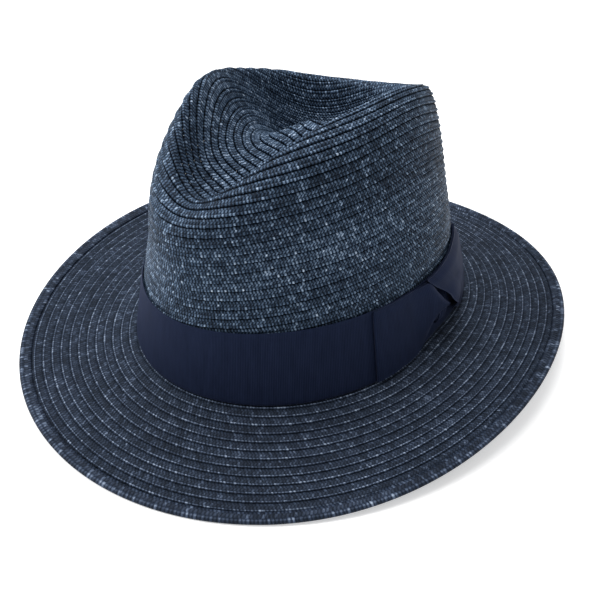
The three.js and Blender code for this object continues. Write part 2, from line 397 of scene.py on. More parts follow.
def place(X, floor=False):
    """Millimetres of the fitted hat to metres of the frame."""
    X = nip(X)
    Y = X @ _M[:3, :3].T + _M[:3, 3]
    if floor:
        Y[..., 2] = np.maximum(Y[..., 2], 0.0)
    return Y * 0.001


def on_crown(t, up, off):
    """A point up from the head line and off the outer face; t, up and off broadcast."""
    t, up, off = np.broadcast_arrays(np.asarray(t, float), np.asarray(up, float), np.asarray(off, float))
    x = (t / TAU * NT) % NT
    i = x.astype(int) % NT
    total = TOTAL[i] * (1 - (x - np.floor(x))) + TOTAL[(i + 1) % NT] * (x - np.floor(x))
    rho = (total - np.maximum(up, 0)) / total * ROWS_CROWN
    X, N = look_up(FACE_OF, FACE_N, ROWS_CROWN, t, rho)
    X = X + N * off[..., None]
    X[..., 2] += np.minimum(up, 0)
    return X


# ---------------------------------------------------------------- meshes
def hashed(*keys):
    """A repeatable random number from 0 to 1 for each set of whole numbers."""
    h = np.zeros(np.broadcast(*keys).shape, np.uint64) + np.uint64(0x9E3779B9)
    for k in keys:
        h = (h ^ (np.asarray(k).astype(np.int64).astype(np.uint64) + np.uint64(0x7F4A7C15))) * np.uint64(0xBF58476D1CE4E5B9)
        h ^= h >> np.uint64(29)
    h = h * np.uint64(0x94D049BB133111EB)
    h ^= h >> np.uint64(32)
    return (h >> np.uint64(11)).astype(float) / float(1 << 53)


def smooth_noise(x, seed=0):
    i = np.floor(x)
    f = x - i
    f = f * f * (3 - 2 * f)
    return hashed(i, seed) * (1 - f) + hashed(i + 1, seed) * f


def make_object(name, verts, faces, material, uv=None, tone=None, smooth=True):
    """faces: (n, 4) array of corners, or a list of arrays of quads and triangles."""
    arrays = faces if isinstance(faces, list) else [faces]
    me = bpy.data.meshes.new(name)
    me.vertices.add(len(verts))
    me.vertices.foreach_set("co", np.ascontiguousarray(verts, dtype=np.float32).ravel())
    loops = np.concatenate([a.ravel() for a in arrays]).astype(np.int32)
    sizes = np.concatenate([np.full(len(a), a.shape[1], np.int32) for a in arrays])
    starts = np.concatenate([[0], np.cumsum(sizes)[:-1]]).astype(np.int32)
    me.loops.add(len(loops))
    me.polygons.add(len(sizes))
    me.loops.foreach_set("vertex_index", loops)
    me.polygons.foreach_set("loop_start", starts)
    me.polygons.foreach_set("loop_total", sizes)
    if smooth:
        me.polygons.foreach_set("use_smooth", np.ones(len(sizes), bool))
    me.update(calc_edges=True)
    me.validate()
    if uv is not None:
        layer = me.uv_layers.new(name="run")
        layer.data.foreach_set("uv", np.ascontiguousarray(uv[loops], dtype=np.float32).ravel())
    if tone is not None:
        at = me.attributes.new("tone", "FLOAT", "POINT")
        at.data.foreach_set("value", np.ascontiguousarray(tone, dtype=np.float32))
    me.materials.append(material)
    ob = bpy.data.objects.new(name, me)
    bpy.context.scene.collection.objects.link(ob)
    return ob


def signed_volume(V, quads):
    a, b, c, d = (V[quads[:, k]] for k in range(4))
    return float((np.einsum("ij,ij->i", a, np.cross(b, c)) + np.einsum("ij,ij->i", a, np.cross(c, d))).sum())


def sweep(V, closed):
    """Quads over a grid V (n sections, m points round each): a tube, closed along its length or capped."""
    n, m = V.shape[:2]
    i = np.arange(n if closed else n - 1)
    j = np.arange(m)
    I, J = np.meshgrid(i, j, indexing="ij")
    I2, J2 = (I + 1) % n, (J + 1) % m
    quads = np.stack([I * m + J, I * m + J2, I2 * m + J2, I2 * m + J], -1).reshape(-1, 4)
    flat = V.reshape(-1, 3)
    faces = [quads]
    flip = signed_volume(flat - flat.mean(0), quads) < 0
    if not closed:
        caps = []
        for row, turn in ((0, False), (n - 1, True)):
            ring = row * m + np.arange(m)
            half = m // 2
            strip = np.array([[ring[k], ring[k + 1], ring[m - 2 - k], ring[m - 1 - k]] for k in range(half - 1)])
            caps.append(strip if turn else strip[:, ::-1])
        faces = [np.concatenate([quads] + caps)]
    if flip:
        faces = [f[:, ::-1] for f in faces]
    return flat, faces


# ---------------------------------------------------------------- materials
def new_material(name):
    m = bpy.data.materials.new(name)
    m.use_nodes = True
    nt = m.node_tree
    bsdf = nt.nodes["Principled BSDF"]
    return m, nt, bsdf


def node(nt, kind, **values):
    n = nt.nodes.new(kind)
    for k, v in values.items():
        if hasattr(n, k):
            setattr(n, k, v)
        else:
            n.inputs[k].default_value = v
    return n


def ramp(nt, stops, interpolation="LINEAR"):
    r = nt.nodes.new("ShaderNodeValToRGB")
    r.color_ramp.interpolation = interpolation
    while len(r.color_ramp.elements) < len(stops):
        r.color_ramp.elements.new(0.5)
    for e, (pos, col) in zip(r.color_ramp.elements, stops):
        e.position = pos
        e.color = (*col, 1.0)
    return r


def srgb(r, g, b):
    f = lambda v: (v / 255 / 12.92) if v <= 10 else ((v / 255 + 0.055) / 1.055) ** 2.4
    return (f(r), f(g), f(b))


def value(nt, op, a, b=0.0, c=0.0, clamp=False):
    """One Math node; a, b and c are numbers or sockets."""
    n = nt.nodes.new("ShaderNodeMath")
    n.operation = op
    n.use_clamp = clamp
    for k, x in enumerate((a, b, c)):
        if isinstance(x, bpy.types.NodeSocket):
            nt.links.new(x, n.inputs[k])
        else:
            n.inputs[k].default_value = x
    return n.outputs[0]


def band_of(nt, x, lo, hi, soft):
    """1 between lo and hi, falling to 0 over soft on each side."""
    out = []
    for a, b in ((lo - soft, lo + soft), (hi + soft, hi - soft)):
        r = nt.nodes.new("ShaderNodeMapRange")
        r.interpolation_type = "SMOOTHSTEP"
        nt.links.new(x, r.inputs["Value"])
        r.inputs["From Min"].default_value, r.inputs["From Max"].default_value = min(a, b), max(a, b)
        r.inputs["To Min"].default_value, r.inputs["To Max"].default_value = (0, 1) if a < b else (1, 0)
        out.append(r.outputs["Result"])
    return value(nt, "MULTIPLY", out[0], out[1])


def strands(nt, phase, seed):
    """For a phase that counts strands: its place across the strand (-0.5 to 0.5), and a random number of its own."""
    i = value(nt, "FLOOR", value(nt, "ADD", phase, 0.5))
    f = value(nt, "SUBTRACT", phase, i)
    w = nt.nodes.new("ShaderNodeTexWhiteNoise")
    w.noise_dimensions = "1D"
    nt.links.new(value(nt, "ADD", i, seed), w.inputs["W"])
    return f, w.outputs["Value"]


def braid_material(name, stops, contrast=1.0, line=0.0, gloss=0.5, spread=0.5, slant=0.9, cross=0.16):
    """Paper braid: slanted strands side by side over the body of a row and small loops along its raised edge, each
    strand with its own tone, painted shade between strands, in the creases and in the gap under the next row's edge, a
    painted highlight along the raised edge, painted glints on rare strands, and fine lengthwise fibres."""
    m, nt, bsdf = new_material(name)
    L = nt.links.new
    tone = node(nt, "ShaderNodeAttribute", attribute_name="tone", attribute_type="GEOMETRY").outputs["Fac"]
    uv = node(nt, "ShaderNodeUVMap", uv_map="run").outputs["UV"]
    sep = node(nt, "ShaderNodeSeparateXYZ")
    L(uv, sep.inputs[0])
    X, V = sep.outputs["X"], sep.outputs["Y"]
    count = value(nt, "DIVIDE", X, STRAND)
    # the body is plaited in two lanes whose strands lean opposite ways
    fa, ra = strands(nt, value(nt, "MULTIPLY_ADD", V, slant, count), 0.0)
    fb, rb = strands(nt, value(nt, "MULTIPLY_ADD", V, -slant, count), 2500.5)
    inner = band_of(nt, V, -0.4, 0.34, 0.03)
    f1 = value(nt, "ADD", value(nt, "MULTIPLY", fb, inner), value(nt, "MULTIPLY", fa, value(nt, "SUBTRACT", 1.0, inner)))
    r1 = value(nt, "ADD", value(nt, "MULTIPLY", rb, inner), value(nt, "MULTIPLY", ra, value(nt, "SUBTRACT", 1.0, inner)))
    # painted shade along the crease where the two lanes meet
    lane = band_of(nt, V, 0.325, 0.355, 0.03)
    fine, rf = strands(nt, value(nt, "MULTIPLY", value(nt, "MULTIPLY_ADD", V, -1.6, count), 2.0), 900.5)
    f2, r2 = strands(nt, value(nt, "ADD", value(nt, "MULTIPLY_ADD", V, -0.5, count), 0.65), 5000.5)
    on_edge = band_of(nt, V, 0.68, 1.2, 0.03)
    f = value(nt, "ADD", value(nt, "MULTIPLY", f2, on_edge), value(nt, "MULTIPLY", f1, value(nt, "SUBTRACT", 1.0, on_edge)))
    r = value(nt, "ADD", value(nt, "MULTIPLY", r2, on_edge), value(nt, "MULTIPLY", r1, value(nt, "SUBTRACT", 1.0, on_edge)))
    across = value(nt, "MULTIPLY", value(nt, "ABSOLUTE", f), 2.0)  # 0 on the strand, 1 between strands
    between = value(nt, "POWER", across, 2.0)
    fibre_map = node(nt, "ShaderNodeMapping")
    fibre_map.inputs["Scale"].default_value = (2.4, 5.0, 1.0)
    fibre_map.inputs["Rotation"].default_value = (0, 0, 0.5)
    L(uv, fibre_map.inputs["Vector"])
    fibre = node(nt, "ShaderNodeTexNoise", Scale=1.0, Detail=3.0, Roughness=0.7)
    L(fibre_map.outputs["Vector"], fibre.inputs["Vector"])
    fib = fibre.outputs["Fac"]
    # painted shadow: the braid is darker in the gap under the edge of the row before
    gap = value(nt, "SUBTRACT", 1.0, band_of(nt, V, 0.075, 0.97, 0.05))  # under the edge of the row before
    # painted shade in the crease between the body and the edge line
    seam = band_of(nt, V, 0.625, 0.665, 0.035)  # between the body and the edge line
    # painted highlight along the raised edge of each row, its strength set by line
    painted_edge_highlight = band_of(nt, V, 0.775, 0.875, 0.035)
    stitch = value(nt, "MULTIPLY", value(nt, "SINE", value(nt, "MULTIPLY", X, TAU / 3.4)), 0.5)
    t = value(nt, "MULTIPLY_ADD", value(nt, "SUBTRACT", r, 0.5), spread, tone)
    t = value(nt, "MULTIPLY_ADD", value(nt, "SUBTRACT", fib, 0.5), 0.55, t)
    t = value(nt, "MULTIPLY_ADD", value(nt, "SUBTRACT", rf, 0.5), cross, t)
    mottle = node(nt, "ShaderNodeTexNoise", Scale=0.55, Detail=1.0)
    L(uv, mottle.inputs["Vector"])
    t = value(nt, "MULTIPLY_ADD", value(nt, "SUBTRACT", mottle.outputs["Fac"], 0.5), 0.05, t)
    # painted glints: rare random strands lifted towards white, as highlights
    painted_glint = value(nt, "POWER", value(nt, "ADD", value(nt, "MULTIPLY", r, 0.75), value(nt, "MULTIPLY", rf, 0.25)), 7.0)
    t = value(nt, "MULTIPLY_ADD", painted_glint, 0.75 * spread, t)
    # painted shade in the crevices between strands
    t = value(nt, "MULTIPLY_ADD", between, -0.62 * contrast, t)
    t = value(nt, "MULTIPLY_ADD", gap, -0.44 * contrast * contrast, t)
    t = value(nt, "MULTIPLY_ADD", seam, -0.36 * contrast * contrast, t)
    t = value(nt, "MULTIPLY_ADD", lane, -0.20 * contrast, t)
    t = value(nt, "MULTIPLY_ADD", painted_edge_highlight, line, t)
    t = value(nt, "MULTIPLY_ADD", value(nt, "MULTIPLY", value(nt, "ADD", gap, seam), stitch), -0.16, t)
    col = ramp(nt, stops)
    L(t, col.inputs["Fac"])
    L(col.outputs["Color"], bsdf.inputs["Base Color"])
    rough = node(nt, "ShaderNodeMapRange")
    rough.inputs["To Min"].default_value = gloss + 0.22
    rough.inputs["To Max"].default_value = gloss - 0.06
    L(t, rough.inputs["Value"])
    L(rough.outputs["Result"], bsdf.inputs["Roughness"])
    bsdf.inputs["Specular IOR Level"].default_value = 0.3
    bsdf.inputs["Specular Tint"].default_value = (0.68, 0.8, 1.0, 1.0)
    h = value(nt, "MULTIPLY_ADD", value(nt, "MULTIPLY", across, across), -1.0, value(nt, "MULTIPLY", fib, 0.35))
    bump = node(nt, "ShaderNodeBump", Strength=0.7, Distance=0.00022)
    L(h, bump.inputs["Height"])
    L(bump.outputs["Normal"], bsdf.inputs["Normal"])
    return m


def ribbon_material(name, base, high, rib_mm=0.85):
    """Grosgrain: cross ribs over fine warp threads, matt with a faint sheen."""
    m, nt, bsdf = new_material(name)
    L = nt.links.new
    uv = node(nt, "ShaderNodeUVMap", uv_map="run")
    sep = node(nt, "ShaderNodeSeparateXYZ")
    L(uv.outputs["UV"], sep.inputs[0])
    rib = node(nt, "ShaderNodeMath", operation="MULTIPLY")
    L(sep.outputs["X"], rib.inputs[0])
    rib.inputs[1].default_value = TAU / rib_mm
    sine = node(nt, "ShaderNodeMath", operation="SINE")
    L(rib.outputs[0], sine.inputs[0])
    thread = node(nt, "ShaderNodeMath", operation="MULTIPLY")
    L(sep.outputs["Y"], thread.inputs[0])
    thread.inputs[1].default_value = TAU / 0.42
    sine2 = node(nt, "ShaderNodeMath", operation="SINE")
    L(thread.outputs[0], sine2.inputs[0])
    noise_map = node(nt, "ShaderNodeMapping")
    noise_map.inputs["Scale"].default_value = (0.35, 0.05, 1.0)
    L(uv.outputs["UV"], noise_map.inputs["Vector"])
    noise = node(nt, "ShaderNodeTexNoise", Scale=1.0, Detail=4.0, Roughness=0.7)
    L(noise_map.outputs["Vector"], noise.inputs["Vector"])
    mix = node(nt, "ShaderNodeMath", operation="MULTIPLY_ADD")
    L(sine.outputs[0], mix.inputs[0])
    mix.inputs[1].default_value = 0.22
    L(noise.outputs["Fac"], mix.inputs[2])
    mix2 = node(nt, "ShaderNodeMath", operation="MULTIPLY_ADD")
    L(sine2.outputs[0], mix2.inputs[0])
    mix2.inputs[1].default_value = 0.08
    L(mix.outputs[0], mix2.inputs[2])
    col = ramp(nt, [(0.15, base), (0.85, high)])
    L(mix2.outputs[0], col.inputs["Fac"])
    L(col.outputs["Color"], bsdf.inputs["Base Color"])
    bsdf.inputs["Roughness"].default_value = 0.7
    bsdf.inputs["Specular IOR Level"].default_value = 0.16
    bsdf.inputs["Specular Tint"].default_value = (0.5, 0.62, 1.0, 1.0)
    bsdf.inputs["Sheen Weight"].default_value = 0.08
    bsdf.inputs["Sheen Roughness"].default_value = 0.45
    bsdf.inputs["Sheen Tint"].default_value = (0.35, 0.4, 0.6, 1.0)
    height = node(nt, "ShaderNodeMath", operation="ADD")
    L(mix2.outputs[0], height.inputs[0])
    height.inputs[1].default_value = 0.0
    bump = node(nt, "ShaderNodeBump", Strength=0.5, Distance=0.00006)
    L(height.outputs[0], bump.inputs["Height"])
    L(bump.outputs["Normal"], bsdf.inputs["Normal"])
    return m


def cloth_material(name, base, high, pitch=0.55, rough=0.88):
    """A plain woven tape or label."""
    m, nt, bsdf = new_material(name)
    L = nt.links.new
    uv = node(nt, "ShaderNodeUVMap", uv_map="run")
    sep = node(nt, "ShaderNodeSeparateXYZ")
    L(uv.outputs["UV"], sep.inputs[0])
    parts = []
    for axis in ("X", "Y"):
        k = node(nt, "ShaderNodeMath", operation="MULTIPLY")
        L(sep.outputs[axis], k.inputs[0])
        k.inputs[1].default_value = TAU / pitch
        s = node(nt, "ShaderNodeMath", operation="SINE")
        L(k.outputs[0], s.inputs[0])
        parts.append(s)
    weave = node(nt, "ShaderNodeMath", operation="MULTIPLY")
    L(parts[0].outputs[0], weave.inputs[0])
    L(parts[1].outputs[0], weave.inputs[1])
    noise = node(nt, "ShaderNodeTexNoise", Scale=0.3, Detail=5.0, Roughness=0.7)
    L(uv.outputs["UV"], noise.inputs["Vector"])
    mix = node(nt, "ShaderNodeMath", operation="MULTIPLY_ADD")
    L(weave.outputs[0], mix.inputs[0])
    mix.inputs[1].default_value = 0.2
    L(noise.outputs["Fac"], mix.inputs[2])
    col = ramp(nt, [(0.2, base), (0.85, high)])
    L(mix.outputs[0], col.inputs["Fac"])
    L(col.outputs["Color"], bsdf.inputs["Base Color"])
    bsdf.inputs["Roughness"].default_value = rough
    bsdf.inputs["Specular IOR Level"].default_value = 0.25
    bump = node(nt, "ShaderNodeBump", Strength=0.4, Distance=0.00008)
    L(mix.outputs[0], bump.inputs["Height"])
    L(bump.outputs["Normal"], bsdf.inputs["Normal"])
    return m


STRAND = 1.65  # length of braid for each strand, in millimetres
# crown and brim are one braid: the crown's ramp is painted lighter and the brim's darker, as painted light and painted
# shade; line is the painted highlight on each row's raised edge
MAT_CROWN = braid_material("crown_braid", [(0.0, srgb(3, 12, 24)), (0.3, srgb(31, 47, 66)), (0.55, srgb(76, 97, 122)), (0.78, srgb(134, 156, 182)), (1.0, srgb(200, 216, 236))], contrast=1.1, line=0.06, gloss=0.44, spread=0.32)
MAT_BRIM = braid_material("brim_braid", [(0.0, srgb(3, 9, 18)), (0.3, srgb(16, 24, 37)), (0.55, srgb(40, 51, 69)), (0.78, srgb(86, 99, 121)), (1.0, srgb(158, 172, 192))], contrast=0.5, line=0.33, gloss=0.54, spread=0.22)
MAT_EDGE = braid_material("edge_braid", [(0.0, srgb(3, 9, 18)), (0.3, srgb(19, 27, 41)), (0.55, srgb(44, 55, 74)), (0.78, srgb(88, 101, 123)), (1.0, srgb(158, 172, 192))], contrast=0.55, line=0.16, gloss=0.48, spread=0.32)
MAT_RIBBON = ribbon_material("navy_grosgrain", srgb(15, 23, 43), srgb(32, 41, 66))
MAT_SWEAT = cloth_material("sweatband_tape", srgb(22, 25, 36), srgb(44, 48, 62))
MAT_TAPE = ribbon_material("seam_tape", srgb(18, 20, 30), srgb(34, 38, 50), rib_mm=1.1)
MAT_LABEL = cloth_material("blank_label", srgb(176, 172, 160), srgb(214, 210, 200), pitch=0.5)
MAT_THREAD = cloth_material("sewing_thread", srgb(30, 34, 48), srgb(64, 70, 90), pitch=0.3)

# ---------------------------------------------------------------- braid
# Section of one row, from its inner edge, tucked under the row before, to its raised outer edge: (share of the pitch, height in mm).
TOP = [(-0.14, -1.62), (0.01, -1.50), (0.07, -1.05), (0.18, -0.74), (0.32, -0.60), (0.46, -0.60), (0.58, -0.70), (0.65, -0.84), (0.73, -0.42), (0.82, -0.08), (0.91, -0.20), (0.975, -0.66)]
UNDER = [(0.99, -1.05), (0.72, -1.30), (0.36, -1.90), (-0.08, -2.02)]


def braid_strip(name, G, N, rows, q0, q1, step, material, seed, floor=False, drop=None, relief=1.0, phase=0.0, depth=1.0, painted_light_offset=0.0):
    """One long strip of braid along the spiral, from row q0 to row q1."""
    # angle follows the spiral; steps of equal length along it
    q = np.linspace(q0, q1, int((q1 - q0) * 400) + 2)
    X, _ = look_up(G, N, rows, (q * TAU) % TAU, q + 0.5)
    s = np.concatenate([[0], np.cumsum(np.linalg.norm(np.diff(X, axis=0), axis=1))])
    n = max(int(s[-1] / step), 8)
    along = np.linspace(0, s[-1], n + 1)
    q = np.interp(along, s, q)
    q = np.unique(np.concatenate([q, np.linspace(q0, q0 + 2, 160)])) if q0 == 0 else q
    X, _ = look_up(G, N, rows, (q * TAU) % TAU, q + 0.5)
    along = np.concatenate([[0], np.cumsum(np.linalg.norm(np.diff(X, axis=0), axis=1))])
    t = (q * TAU) % TAU
    top, under = np.array(TOP), np.array(UNDER)
    prof = np.concatenate([top, under])
    m = len(prof)
    U = np.repeat(prof[None, :, 0], len(q), 0)
    H = np.repeat(prof[None, :, 1], len(q), 0)
    H = np.where(np.arange(m)[None] < len(top), H * depth, H)
    A = np.repeat(along[:, None], m, 1)
    # strands: slanted over the body, straight on the edge line
    wob = 0.35 * (smooth_noise(along / 9.0, seed)[:, None] - 0.5)
    body = A / STRAND + phase + wob + 0.9 * U
    edge = A / STRAND + phase + wob + 0.25 - 0.5 * (U - 0.8)
    is_top = np.zeros(m, bool)
    is_top[: len(top)] = True
    on_body = is_top & (prof[:, 0] > 0.1) & (prof[:, 0] < 0.6)
    on_edge = is_top & (prof[:, 0] > 0.68) & (prof[:, 0] < 0.97)
    lump = lambda f: np.abs(np.cos(np.pi * f)) ** 0.8
    H[:, on_body] += relief * (0.34 * lump(body[:, on_body]) - 0.2)
    H[:, on_edge] += relief * (0.26 * lump(edge[:, on_edge]) - 0.14)
    under_at = ~is_top
    H[:, under_at] += relief * 0.12 * np.cos(TAU * body[:, under_at])
    # slow unevenness of hand-fed rows
    H += 0.10 * (smooth_noise(along / 23.0, seed + 5)[:, None] - 0.5) * (U > 0.1)
    U = U + 0.05 * (smooth_noise(along / 14.0, seed + 9)[:, None] - 0.5) * (U > 0.6) + 0.035 * np.sin(TAU * along / 4.1)[:, None] * (U > 0.9)
    rho = q[:, None] + U
    rho = np.where(rho < 0, rho * 0.04, rho)  # the first turn is taken in to a plain inner edge
    if drop is not None:
        H = H + drop(np.repeat(t[:, None], m, 1), rho)
    X, NN = look_up(G, N, rows, np.repeat(t[:, None], m, 1), rho)
    V = place(X + NN * H[..., None], floor)
    # tone: longer patches of lighter and darker braid and a drift from row to row, plus painted light: a lift for each
    # strip, a painted highlight patch and a painted shade band on the crown, and painted shade on the brim's front
    tone_drift_and_painted_light = painted_light_offset + 0.06 * (smooth_noise(along / 31.0, seed + 3) - 0.5) + 0.03 * (smooth_noise(along / 7.0, seed + 4) - 0.5) + 0.08 * (smooth_noise(q * 0.7, seed + 6) - 0.5)
    if name.startswith("crown"):
        # painted highlight patch on the crown's near wall, and a painted shade band on its upper rows
        turn = (np.degrees(t) - 60.0 + 180) % 360 - 180
        tone_drift_and_painted_light = tone_drift_and_painted_light + 0.075 * np.exp(-((turn / 24.0) ** 2) - ((q - 29.5) / 4.5) ** 2) - 0.035 * np.exp(-((turn / 30.0) ** 2) - ((q - 21.0) / 3.0) ** 2)
    if name.startswith("brim"):
        # painted shade: the brim's front is darker
        turn = (np.degrees(t) - 30.0 + 180) % 360 - 180
        tone_drift_and_painted_light = tone_drift_and_painted_light - 0.035 * np.exp(-((turn / 42.0) ** 2))
    tone = np.repeat((TONE + tone_drift_and_painted_light)[:, None], m, 1)
    tone = np.where(is_top[None], tone, tone + 0.02)
    U_uv = np.where(is_top[None], U, 0.12 + 0.8 * U)
    uv = np.stack([A + (phase + wob) * STRAND + 0 * U, U_uv], -1).reshape(-1, 2)
    flat, faces = sweep(V, False)
    ob = make_object(name, flat, faces[0], material, uv, tone.reshape(-1))
    return ob


TONE = 0.50
FINE = 0.47
NRW = ROWS_CROWN
OV = 1.0
# each strip's tone is raised by a painted light offset, most in the dent, where it paints the dent floor lighter
crown_pieces = [
    braid_strip("crown_dent_rows", CROWN, CROWN_N, NRW, 0.0, 13.0, FINE, MAT_CROWN, 11, painted_light_offset=0.12, relief=0.7),
    braid_strip("crown_dent_rim_rows", CROWN, CROWN_N, NRW, 13.0, 17.5, FINE, MAT_CROWN, 13, painted_light_offset=0.08, relief=0.7),
    braid_strip("crown_crest_rows", CROWN, CROWN_N, NRW, 17.5, 22.5, FINE, MAT_CROWN, 17, painted_light_offset=0.01, relief=0.7),
    braid_strip("crown_shoulder_rows", CROWN, CROWN_N, NRW, 22.5, 28.0, FINE, MAT_CROWN, 23, painted_light_offset=0.0, relief=0.7),
    braid_strip("crown_wall_rows", CROWN, CROWN_N, NRW, 28.0, 33.0, FINE, MAT_CROWN, 37, painted_light_offset=0.02, relief=0.7),
    braid_strip("crown_lower_wall_rows", CROWN, CROWN_N, NRW, 33.0, 37.0, FINE, MAT_CROWN, 39, painted_light_offset=0.02, relief=0.7),
    braid_strip("crown_foot_rows", CROWN, CROWN_N, NRW, 37.0, NRW - 1.0, 1.8, MAT_CROWN, 41, relief=0.5),
]


def under_edge(t, rho):
    """The last rows dip under the doubled edge row."""
    w = waves(P["BRIM"]["width"], t)
    x = np.clip((brim_out(t, rho) - (w - EDGE_ROW - 1.2)) / 1.6, 0, 1)
    return -1.15 * x * x * (3 - 2 * x) * (rho > ROWS_BRIM - 3)


brim_pieces = [
    braid_strip("brim_inner_rows", BRIM_G, BRIM_N, ROWS_BRIM, -0.98, 3.0, FINE, MAT_BRIM, 53, floor=True, depth=0.42, relief=0.45),
    braid_strip("brim_middle_rows", BRIM_G, BRIM_N, ROWS_BRIM, 3.0, 6.5, FINE, MAT_BRIM, 59, floor=True, depth=0.42, relief=0.45),
    braid_strip("brim_wide_rows", BRIM_G, BRIM_N, ROWS_BRIM, 6.5, 10.0, FINE, MAT_BRIM, 60, floor=True, depth=0.42, relief=0.45),
    braid_strip("brim_outer_rows", BRIM_G, BRIM_N, ROWS_BRIM, 10.0, ROWS_BRIM - 1.0, FINE, MAT_BRIM, 61, floor=True, drop=under_edge, depth=0.42, relief=0.45),
]
for o in crown_pieces:
    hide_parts("crown"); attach(o, "root")
for o in brim_pieces:
    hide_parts("brim"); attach(o, "root")


def edge_row():
    """The doubled last row, a closed ring with a turned edge."""
    prof = [(-6.15, -0.95), (-6.0, -0.35), (-5.3, -0.12), (-4.4, 0.06), (-3.4, 0.02), (-2.7, -0.2), (-2.1, 0.12), (-1.4, 0.22), (-0.6, 0.02), (-0.05, -0.55),
            (0.0, -1.2), (-0.35, -1.8), (-1.2, -2.15), (-3.2, -2.2), (-5.0, -2.15), (-5.9, -2.2)]
    prof = np.array(prof)
    length = 960.0
    n = int(length / (FINE * 0.9))
    t = np.arange(n) * TAU / n
    w = waves(P["BRIM"]["width"], t)
    turns = round(length / 1.8)
    a = t / TAU * turns
    m = len(prof)
    out = w[:, None] + prof[None, :, 0]
    H = np.repeat(prof[None, :, 1], n, 0)
    body = a[:, None] + 0.1 * prof[None, :, 0]
    lump = np.abs(np.cos(np.pi * body)) ** 0.8
    top = np.zeros(m, bool)
    top[1:9] = True
    H[:, top] += 0.26 * lump[:, top] - 0.15
    H += 0.05 * (smooth_noise(t / TAU * 60, 3)[:, None] - 0.5)
    x = np.clip(out / w[:, None], 0, 1.0)
    tt = np.repeat(t[:, None], m, 1)
    X = brim_point(tt, out)
    e = 1e-3
    N = np.cross(brim_point(tt, out - 1.0) - brim_point(tt, out - 2.0), brim_point(tt + e, out - 1) - brim_point(tt - e, out - 1))
    N *= np.sign(N[..., 2:3])
    N /= np.linalg.norm(N, axis=-1, keepdims=True)
    V = place(X + N * H[..., None], True)
    tone = np.repeat((TONE + 0.16 * (smooth_noise(t / TAU * 40, 8) - 0.5))[:, None], m, 1)
    share = np.interp(prof[:, 0], [-6.2, -6.0, -2.7, -1.4, -0.3, 0.0], [0.0, 0.1, 0.64, 0.82, 0.93, 0.97])
    share = np.where(np.arange(m) > 10, 0.35, share)
    uv = np.stack([a[:, None] * STRAND + 0 * out, share[None, :] + 0 * out], -1).reshape(-1, 2)
    flat, faces = sweep(V, True)
    o = make_object("brim_edge_braid", flat, faces[0], MAT_EDGE, uv, tone.reshape(-1))
    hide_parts("brim_edge_row"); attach(o, "root")
    return o


edge_row()

# ---------------------------------------------------------------- ribbon band
RIB = 0.85


def ribbon_ring(name, ups, off, thick, material, rib=RIB, depth=0.07, seam=None):
    """A closed ring of ribbon on the crown's face: ups(t, f) gives the height for a share f across the ribbon."""
    length = 575.0
    ribs = round(length / rib)
    n = ribs * 3
    t = np.arange(n) * TAU / n
    f = np.array([0, 0.012, 0.035, 0.07, 0.18, 0.32, 0.46, 0.6, 0.74, 0.86, 0.93, 0.965, 0.988, 1.0])
    tt = np.repeat(t[:, None], len(f), 1)
    ff = np.repeat(f[None], n, 0)
    wave = 0.5 * (1 + np.cos(t / TAU * ribs * TAU))[:, None]
    edge = np.minimum(np.minimum(ff, 1 - ff) / 0.03, 1)
    slack = 0.16 * (smooth_noise(t / TAU * 21, 9)[:, None] - 0.5) * np.sin(np.pi * ff)
    H = off - 0.12 + thick * (0.62 + 0.38 * edge) + depth * wave * (0.5 + 0.5 * edge) + slack
    scallop = 0.05 * wave * (ff == 0) * -1 + 0.05 * wave * (ff == 1)
    up = ups(tt, ff) + scallop
    top = on_crown(tt, up, H)
    under = on_crown(tt[:, ::-1], up[:, ::-1], np.full_like(H, off))[:, 1:-1]
    V = place(np.concatenate([top, under], 1))
    uvx = t / TAU * ribs * rib
    w = BAND_WIDTH
    uv_t = np.stack([np.repeat(uvx[:, None], len(f), 1), ff * w], -1)
    uv_u = np.stack([np.repeat(uvx[:, None], len(f) - 2, 1), ff[:, ::-1][:, 1:-1] * w], -1)
    uv = np.concatenate([uv_t, uv_u], 1).reshape(-1, 2)
    flat, faces = sweep(V, True)
    return make_object(name, flat, faces[0], material, uv)


band = ribbon_ring("ribbon_band", lambda t, f: BAND_LOW + f * (BAND_WIDTH + BAND_RISE * np.sin(t)), GAP, 0.75, MAT_RIBBON)
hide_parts("hat_band"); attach(band, "root")


# ---------------------------------------------------------------- bow
def ribbon_patch(name, T, U, H, thick, rib_dir=0, material=MAT_RIBBON, uv=None):
    """A closed thin sheet over grids of angle, height up and height off the crown."""
    top = on_crown(T, U, H)
    n = np.cross(np.gradient(top, axis=0), np.gradient(top, axis=1))
    n /= np.maximum(np.linalg.norm(n, axis=-1, keepdims=True), 1e-9)
    mid_t = float(np.mean(T))
    if (n.reshape(-1, 3).mean(0) * np.array([math.sin(mid_t), -math.cos(mid_t), 0])).sum() < 0:
        n = -n
    under = top - n * thick
    a, b = top.shape[:2]
    k = a * b
    idx = np.arange(k).reshape(a, b)
    q = lambda g: np.stack([g[:-1, :-1], g[1:, :-1], g[1:, 1:], g[:-1, 1:]], -1).reshape(-1, 4)
    rim = np.concatenate([idx[0, :], idx[1:, -1], idx[-1, -2::-1], idx[-2:0:-1, 0]])
    nxt = np.roll(rim, -1)
    sides = np.stack([rim, nxt, nxt + k, rim + k], -1)
    quads = np.concatenate([q(idx), (q(idx) + k)[:, ::-1], sides[:, ::-1]])
    V = place(np.concatenate([top.reshape(-1, 3), under.reshape(-1, 3)]))
    if signed_volume(V - V.mean(0), quads) < 0:
        quads = quads[:, ::-1]
    if uv is None:
        uv = np.stack([T * 88.0, U], -1)
    uv2 = np.concatenate([uv.reshape(-1, 2)] * 2)
    o = make_object(name, V, quads, material, uv2)
    return o


deg = math.radians
BASE = GAP + 0.75 + 0.25


